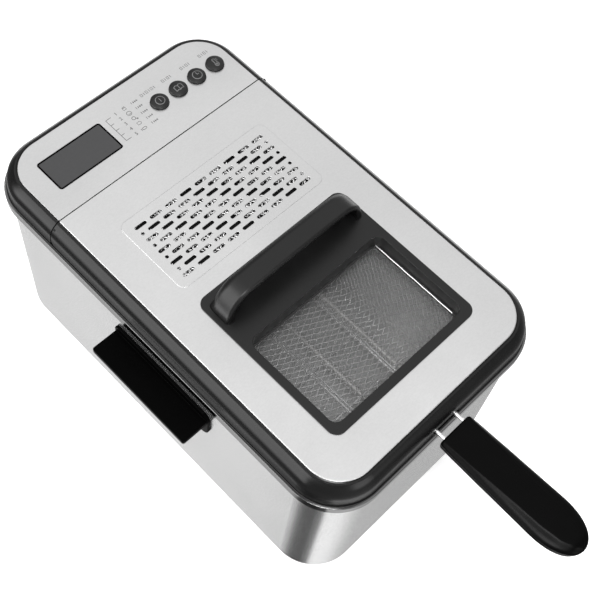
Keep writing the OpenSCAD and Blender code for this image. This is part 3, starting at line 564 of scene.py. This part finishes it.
def filter_weave():
    """Knitted steel wire: thick loops in slanting rows, a loose finer net between them, and a dark pad below:
    a sheet of painted shade that keeps the slots black.
    """
    lo, hi = box("filter_mesh")
    cx, cy = (lo.x + hi.x) / 2, (lo.y + hi.y) / 2
    half_w, half_l = (hi.x - lo.x) / 2 - 1.0, (hi.y - lo.y) / 2 - 1.0
    period, phase, lean = 29.7, -1.4, math.radians(47.8)
    pitch, loop, amp, sample = 3.0, 3.4, 0.95, 0.45

    def row(x, y):
        t = (x * math.cos(lean) + y * math.sin(lean) - phase) / period
        return abs(t - round(t)) * period

    def runs(points, limit):
        line, out = [], []
        for q in points:
            if abs(q[0]) < half_w and abs(q[1]) < half_l and row(q[0], q[1]) < limit:
                line.append((cx + q[0], cy + q[1], q[2]))
                continue
            if len(line) > 3:
                out.append(line)
            line = []
        return out + ([line] if len(line) > 3 else [])

    count = int(half_l * 2 / sample)
    thick, thin = [], []
    for k in range(int(-half_w / pitch), int(half_w / pitch) + 1):
        path = []
        for j in range(count + 1):
            y = -half_l + 2 * half_l * j / count
            a = y * 2 * math.pi / loop + k * 2.4
            x = k * pitch + amp * math.sin(a) + 0.3 * math.sin(y * 0.31 + k)
            path.append((x, y, hi.z + 0.75 + 0.1 * math.cos(a * 2)))
        thick += runs(path, 8.8 + 0.9 * math.sin(k * 2.3))
    for k in range(-34, 35):
        for angle in (28, 118):
            a = math.radians(angle)
            path = []
            for j in range(-180, 181):
                u = j * 0.9
                v = k * 4.1 + 0.8 * math.sin(u * 0.8 + k * 1.7)
                path.append((u * math.cos(a) - v * math.sin(a), u * math.sin(a) + v * math.cos(a), hi.z - 0.6))
            thin += runs(path, 9.6)
    # Dark sheet under the net: painted shade, standing in for the shadow deep in the slots
    bm = bmesh.new()
    w, l, r = half_w + 0.4, half_l + 0.4, 2.4
    pad = arc(cx + w - r, cy + l - r, r, 0, 90, 6) + arc(cx - w + r, cy + l - r, r, 90, 180, 6) \
        + arc(cx - w + r, cy - l + r, r, 180, 270, 6) + arc(cx + w - r, cy - l + r, r, 270, 360, 6)
    prism(bm, pad, hi.z - 1.9, hi.z - 1.3)
    piece("filter_shade_pad", bm, "lid", "inner_plastic", bevel=0.15)
    wires("filter_weave", thick, 0.38, "lid", "filter_steel", instead=["filter_mesh"])
    wires("filter_net", thin, 0.16, "lid", "filter_steel")


def basket_ribs():
    """Straight stiffening wires that lie lengthwise on the floor of the basket."""
    lo, hi = box("basket_mesh")
    z = lo.z + 1.8
    lines = []
    for x, trim in ((-1.6, 9.0), (1.6, 9.0), (-53.0, 14.0), (53.0, 14.0)):
        lines.append([(x, lo.y + trim + (hi.y - lo.y - 2 * trim) * k / 12, z) for k in range(13)])
    wires("basket_ribs", lines, 0.65, "basket", "wire_chrome", around=2)


def panel_bead():
    """Polished, slightly rolled edge of the lid's plate."""
    lo, hi = box("lid_panel")
    z, out, corner = hi.z - 0.5, 0.1, 28.0
    w, r, y0, y1 = (hi.x - lo.x) / 2 + out, corner + out, lo.y - out, hi.y - 0.6
    line = [(-w, y1 + (y0 + r - y1) * k / 12, z) for k in range(12)]
    line += [(x, y, z) for x, y in arc(-w + r, y0 + r, r, 180, 270, 24) + arc(w - r, y0 + r, r, 270, 360, 24)]
    line += [(w, y0 + r + (y1 - y0 - r) * k / 12, z) for k in range(1, 13)]
    wires("panel_bead", [line], 0.34, "lid", "panel_steel", around=2)


def window_clip():
    """Bright wire along one long side of the pane: a guess at what the bright line there is."""
    lo, hi = box("window_frame")
    _, glass = box("window_glass")
    inset, trim, parts = 8.2, 13.0, 40
    x, z = hi.x - inset, glass.z + 0.75
    line = [(x, lo.y + trim + (hi.y - lo.y - 2 * trim) * k / parts,
             z + 0.12 * math.sin(k * 1.1)) for k in range(parts + 1)]
    wires("window_clip", [line], 0.5, "lid", "wire_chrome", around=2)


def rim_gap_shade_cord():
    """Black cord in the gap between the collar and the rim: painted shade, a dark strip standing in for the
    shadow in that gap.
    """
    lo, hi = box("top_collar")
    cut, corner, parts = 1.8, 39.2, 240
    around = 2 * ((hi.x - lo.x) + (hi.y - lo.y) - 4 * cut) - (8 - 2 * math.pi) * corner
    pts = [outline_point((hi.x - lo.x) / 2 - cut, lo.y + cut, hi.y - cut, corner, around * k / parts)[0]
           for k in range(parts + 1)]
    # Dark cord on the collar under the rim: painted shadow of the gap
    wires("rim_gap_shade_cord", [[(p.x, p.y, hi.z + 0.15) for p in pts]], 0.35, "base", "foot_rubber")


# ---------------------------------------------------------------- printed marks

def strokes(name, paths, width, thick, body, slot, mat, lift):
    """Flat printed lines: a thin ribbon along each path; lift(x, y) is the height below it."""
    bm = bmesh.new()
    for path in paths:
        left, right = [], []
        for i, (x, y) in enumerate(path):
            a, b = path[max(i - 1, 0)], path[min(i + 1, len(path) - 1)]
            closed = path[0] == path[-1] and len(path) > 3
            if closed and i in (0, len(path) - 1):
                a, b = path[-2], path[1]
            t = Vector((b[0] - a[0], b[1] - a[1])).normalized() * width / 2
            left.append((x - t.y, y + t.x))
            right.append((x + t.y, y - t.x))
        for i in range(len(path) - 1):
            quad = [left[i], left[i + 1], right[i + 1], right[i]]
            top = [bm.verts.new((x, y, lift(x, y) + thick)) for x, y in quad]
            low = [bm.verts.new((x, y, lift(x, y) - 0.02)) for x, y in quad]
            bm.faces.new(top)
            bm.faces.new(list(reversed(low)))
            for j in range(4):
                bm.faces.new((top[j], low[j], low[(j + 1) % 4], top[(j + 1) % 4]))
    piece(name, bm, body, slot, mat, smooth=False)


def number_mark(text, size, x, y, z):
    data = bpy.data.curves.new("dial_" + text, "FONT")
    data.body = text
    data.size = size * MM
    data.extrude = 0.015 * MM
    data.align_x = data.align_y = "CENTER"
    obj = bpy.data.objects.new("dial_number_" + text, data)
    bpy.context.scene.collection.objects.link(obj)
    obj.location = (x * MM, y * MM, (z + 0.03) * MM)
    data.materials.append(PRINT)
    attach(obj, "head")


def circle_path(x, y, r, a0=0, a1=360, n=24):
    path = arc(x, y, r, a0, a1, n)
    if a1 - a0 == 360:
        path[-1] = path[0]
    return path


def scaled(path, x, y, s):
    return [(x + px * s, y + py * s) for px, py in path]


def panel_print():
    _, top = box("head_panel")
    d_lo, d_hi = box("display_lens")
    z = top.z
    x0, y0, y1 = d_hi.x + 6.3, d_lo.y + 1.7, d_hi.y - 1.2
    rows = [y1 + (y0 - y1) * k / 4 for k in range(5)]
    marks = [[(x0, y0 - 0.15), (x0, y1 + 0.15)]]
    marks += [[(x0, y), (x0 + (5.0 if k in (0, 4) else 3.2), y)] for k, y in enumerate(rows)]
    for k, y in enumerate(rows):
        number_mark(str(k + 1), 4.4, x0 + 10.0, y, z)
        for j in range(4):
            x = x0 + 25.8 + j * 1.7
            marks.append([(x, y - 0.95), (x, y + (0.95 if j else 1.25))])
        marks.append([(x0 + 27.5, y - 0.1), (x0 + 31.6, y - 0.1)])
    ix = x0 + 18.3
    marks += [scaled([(-1, -1.4), (1, -1.4), (1.3, 0.4), (-1.3, 0.4), (-1, -1.4)], ix, rows[0], 1.15)]
    marks += [scaled([(k, 0.4), (k, 1.6)], ix, rows[0], 1.15) for k in (-0.8, 0.0, 0.8)]
    marks += [circle_path(ix, rows[1], 2.0), circle_path(ix, rows[1], 0.9, 200, 360, 8)]
    marks += [circle_path(ix - 0.4, rows[2] + 0.3, 1.5),
              [(ix + 0.7, rows[2] - 0.7), (ix + 2.0, rows[2] - 1.9)]]
    marks += [circle_path(ix + 1.9, rows[2] - 1.7, 0.45, n=8)]
    marks += [scaled([(-1.5, -1), (0.6, -1), (1.5, 0), (0.6, 1.2), (-1.5, 1.2), (-1.5, -1)],
                     ix, rows[3], 1.2)]
    fish = [(2.2 * math.cos(a * math.pi / 10), 1.1 * math.sin(a * math.pi / 10)) for a in range(-9, 10)]
    fish = [(p[0] - 0.3, p[1]) for p in fish]
    tail = [(-2.3, 0.3), (-3.2, 1.0), (-3.2, -1.0), (-2.3, -0.3)]
    marks += [scaled(fish, ix, rows[4], 0.95), scaled(tail, ix, rows[4], 0.95)]
    for key, count in (("button_power", 6), ("button_mode", 4), ("button_time", 4), ("button_temp", 4)):
        lo, hi = box(key)
        bx, by = (lo.x + hi.x) / 2 - count * 1.25 + 0.4, hi.y + 6.0
        y_low, y_high = by - 1.35, by + 1.35
        for j in range(count):
            x = bx + j * 2.6
            if j % 2:
                marks.append([(x + 0.7, y_low), (x + 0.7, y_high)])
            else:
                marks.append([(x, y_low), (x, y_high), (x + 1.5, y_high), (x + 1.5, y_low), (x, y_low)])
    strokes("panel_marks", marks, 0.40, 0.03, "head", "panel_steel", PRINT, lambda x, y: z)


def button_icons():
    dome, size, drop = 17.0, 1.22, 0.7
    hand = [[(0, 0), (0, 2.1)], [(0, 0), (1.5, 0.2)]]
    book = [[(-2.9, -1.7), (-2.9, 1.9), (-1.2, 2.3), (0, 1.6), (1.2, 2.3), (2.9, 1.9), (2.9, -1.7),
             (1.2, -1.4), (0, -2.1), (-1.2, -1.4), (-2.9, -1.7)], [(0, 1.6), (0, -2.1)]]
    stem = [[(-0.9, -0.6), (-0.9, 2.6), (-0.4, 3.1), (0.4, 3.1), (0.9, 2.6), (0.9, -0.6)],
            circle_path(0, -1.7, 1.4, -230, 50, 16), [(1.7, 1.0), (2.6, 1.0)], [(1.7, 2.2), (2.6, 2.2)],
            circle_path(0, -1.7, 0.5, n=8)]
    sets = {"power": [circle_path(0, 0, 3.1), [(0, -1.5), (0, 1.5)]], "mode": book,
            "time": [circle_path(0, 0, 3.2)] + hand, "temp": stem}
    for key, paths in sets.items():
        lo, hi = box("button_" + key)
        cx, cy = (lo.x + hi.x) / 2, (lo.y + hi.y) / 2
        fine = []
        for path in paths:
            dense = [path[0]]
            for a, b in zip(path, path[1:]):
                n = max(1, int(math.hypot(b[0] - a[0], b[1] - a[1]) / 0.6))
                dense += [(a[0] + (b[0] - a[0]) * k / n, a[1] + (b[1] - a[1]) * k / n)
                          for k in range(1, n + 1)]
            fine.append([(cx + x * size, cy + y * size - drop) for x, y in dense])

        def rise(x, y):
            return hi.z - dome + math.sqrt(dome ** 2 - (x - cx) ** 2 - (y - cy) ** 2) + 0.005

        strokes("icon_" + key, fine, 0.5, 0.04, "key_" + key, "button_plastic", ICON, rise)


lid_handle()
grip()
side_handle("side_handle_left", -1)
side_handle("side_handle_right", 1)
basket_weave()
filter_weave()
basket_ribs()
rim_gap_shade_cord()
panel_bead()
window_clip()
panel_print()
button_icons()


# ---------------------------------------------------------------- stage, light, camera

def stage():
    bm = bmesh.new()
    bmesh.ops.create_grid(bm, x_segments=8, y_segments=8, size=4000)
    bmesh.ops.scale(bm, vec=(MM, MM, MM), verts=bm.verts)
    me = bpy.data.meshes.new("floor")
    bm.to_mesh(me)
    bm.free()
    floor = bpy.data.objects.new("floor", me)
    bpy.context.scene.collection.objects.link(floor)
    me.materials.append(shader("floor_paint", 0.93, 0.8, dark=0.99, light=1.01, mottle=2.0,
                               emission_strength=0.3))
    floor.visible_glossy = False


def world():
    """A studio all round: pale zenith, three softboxes, a middle band and a lit table below.

    turn runs once round: 0 and 1 look along -X, 0.25 along -Y, 0.5 along +X and 0.75 along +Y."""
    w = bpy.data.worlds.new("studio")
    bpy.context.scene.world = w
    w.use_nodes = True
    t = w.node_tree
    back = t.nodes["Background"]
    back.inputs["Color"].default_value = (1, 1, 1, 1)
    coord = t.nodes.new("ShaderNodeTexCoord")
    xyz = t.nodes.new("ShaderNodeSeparateXYZ")
    t.links.new(coord.outputs["Generated"], xyz.inputs[0])
    x, y, z = (Num(t, xyz.outputs[i]) for i in range(3))
    turn = y._math("ARCTAN2", x) / (2 * math.pi) + 0.5
    below = turn.ramp([(0.0, 0.06), (0.075, 0.05), (0.09, 0.12), (0.128, 0.16), (0.143, 1.1), (0.24, 1.1),
                       (0.33, 0.66), (0.4, 0.5), (0.5, 0.55), (0.6, 0.78), (0.75, 0.84), (0.93, 0.86),
                       (0.96, 0.2), (1.0, 0.06)])
    middle = turn.ramp([(0.0, 0.20), (0.2, 0.55), (0.27, 0.5), (0.31, 0.25), (0.42, 0.25), (0.48, 0.6),
                        (0.55, 0.75), (0.62, 0.6), (0.70, 0.2), (0.8, 0.16), (1.0, 0.20)])
    above = (y * 0.2 + 0.80) * y.step(-0.5, -0.05, 0.45, 1.0)
    low = z.step(-0.78, -0.62, 1.0, 0.0)
    high = z.step(0.45, 0.75)
    base = below * low + middle * (low * -1 + 1) * (high * -1 + 1) + above * high
    left = turn.step(0.85, 0.9) * z.step(-0.28, 0.05) * z.step(0.88, 0.76) * 3.4
    front = turn.step(0.2, 0.225) * turn.step(0.32, 0.28) * z.step(0.15, 0.25) * z.step(0.72, 0.6) * 2.0
    far = turn.step(0.49, 0.52) * turn.step(0.75, 0.71) * z.step(-0.72, -0.6) * z.step(0.0, -0.18) * 1.7
    total = base + left + front + far
    path = t.nodes.new("ShaderNodeLightPath")
    seen = Num(t, path.outputs["Is Camera Ray"])
    total = total * (seen * -1 + 1) + seen * 1.0
    t.links.new(total.socket, back.inputs["Strength"])


def lamp(name, place, aim, size, power, glossy):
    data = bpy.data.lights.new(name, "AREA")
    data.shape = "RECTANGLE"
    data.size, data.size_y = size
    data.energy = power
    obj = bpy.data.objects.new(name, data)
    obj.location = place
    obj.rotation_euler = (Vector(aim) - Vector(place)).to_track_quat("-Z", "Y").to_euler()
    bpy.context.scene.collection.objects.link(obj)
    obj.visible_glossy = glossy


def camera():
    data = bpy.data.cameras.new("camera")
    data.sensor_width, data.lens = 36.0, 64.16
    data.shift_x, data.shift_y = 0.0267, 0.00425
    data.clip_start, data.clip_end = 0.01, 50.0
    cam = bpy.data.objects.new("camera", data)
    axes = Matrix(((0.712468, 0.591922, -0.376851), (-0.697925, 0.653429, -0.293140),
                   (0.072730, 0.471867, 0.878665)))
    cam.matrix_world = Matrix.Translation((-0.31154, -0.21082, 0.84785)) @ axes.to_4x4()
    bpy.context.scene.collection.objects.link(cam)
    bpy.context.scene.camera = cam


stage()
world()
lamp("overhead", (0.1, 0.1, 2.2), (0, 0, 0), (2.4, 2.4), 24.0, False)
lamp("key", (-0.42, -0.42, 1.7), (0.0, 0.0, 0.1), (0.5, 0.5), 14.0, True)
camera()
bpy.context.scene.view_settings.view_transform = "Standard"
